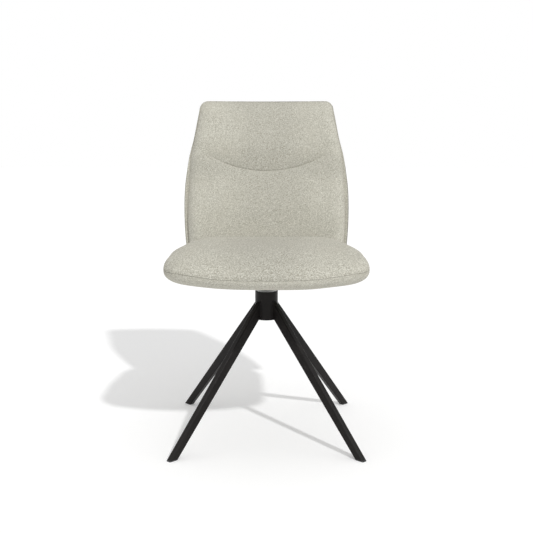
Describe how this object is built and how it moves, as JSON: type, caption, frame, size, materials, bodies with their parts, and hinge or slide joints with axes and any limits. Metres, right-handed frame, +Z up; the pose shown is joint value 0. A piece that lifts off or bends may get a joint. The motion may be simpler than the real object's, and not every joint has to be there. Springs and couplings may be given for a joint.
{
  "type": "swivel dining chair",
  "caption": "Armless dining chair whose crowned upholstered seat and hollowed back turn freely on a hub tube carried by splayed tapered metal legs.",
  "frame": {"origin": "on the floor, on the axis that the seat turns about", "axes": "+Z up along the swivel axis, -Y towards the front of the seat, +X to the right in a front view"},
  "size_m": [0.4706, 0.6189, 0.853],
  "materials": {
    "frame_coat": "satin black powder coat",
    "plate_coat": "matt black coat",
    "glide_plastic": "black moulded",
    "bush_nylon": "light grey moulded",
    "zinc_steel": "zinc plated",
    "plywood": "raw moulded ply",
    "upholstery": "woven greige over foam",
    "dust_cloth": "black non-woven"
  },
  "bodies": {
    "base": {"hub_tube": "frame_coat", "leg_front_left": "frame_coat", "leg_front_right": "frame_coat", "leg_rear_left": "frame_coat", "leg_rear_right": "frame_coat", "glide_front_left": "glide_plastic", "glide_front_right": "glide_plastic", "glide_rear_left": "glide_plastic", "glide_rear_right": "glide_plastic", "hub_cap": "glide_plastic", "lower_bush": "bush_nylon", "upper_bush": "bush_nylon", "thrust_washer": "zinc_steel"},
    "seat_unit": {"spindle": "zinc_steel", "retaining_washer": "zinc_steel", "circlip": "zinc_steel", "mounting_plate": "plate_coat", "plate_bolts": "zinc_steel", "plate_tee_nuts": "zinc_steel", "seat_board": "plywood", "dust_cover": "dust_cloth", "seat_underpad": "upholstery", "seat_cushion": "upholstery", "bracket_left": "plate_coat", "bracket_right": "plate_coat", "bracket_seat_bolts": "zinc_steel", "bracket_seat_nuts": "zinc_steel", "bracket_back_bolts": "zinc_steel", "bracket_back_nuts": "zinc_steel", "back_board": "plywood", "back_cushion": "upholstery", "back_shell_pad": "upholstery"}
  },
  "joints": [
    {"name": "seat_swivel", "type": "hinge", "parent": "base", "child": "seat_unit", "pos_m": [0, 0, 0.366], "axis": [0, 0, 1], "continuous": true}
  ]
}
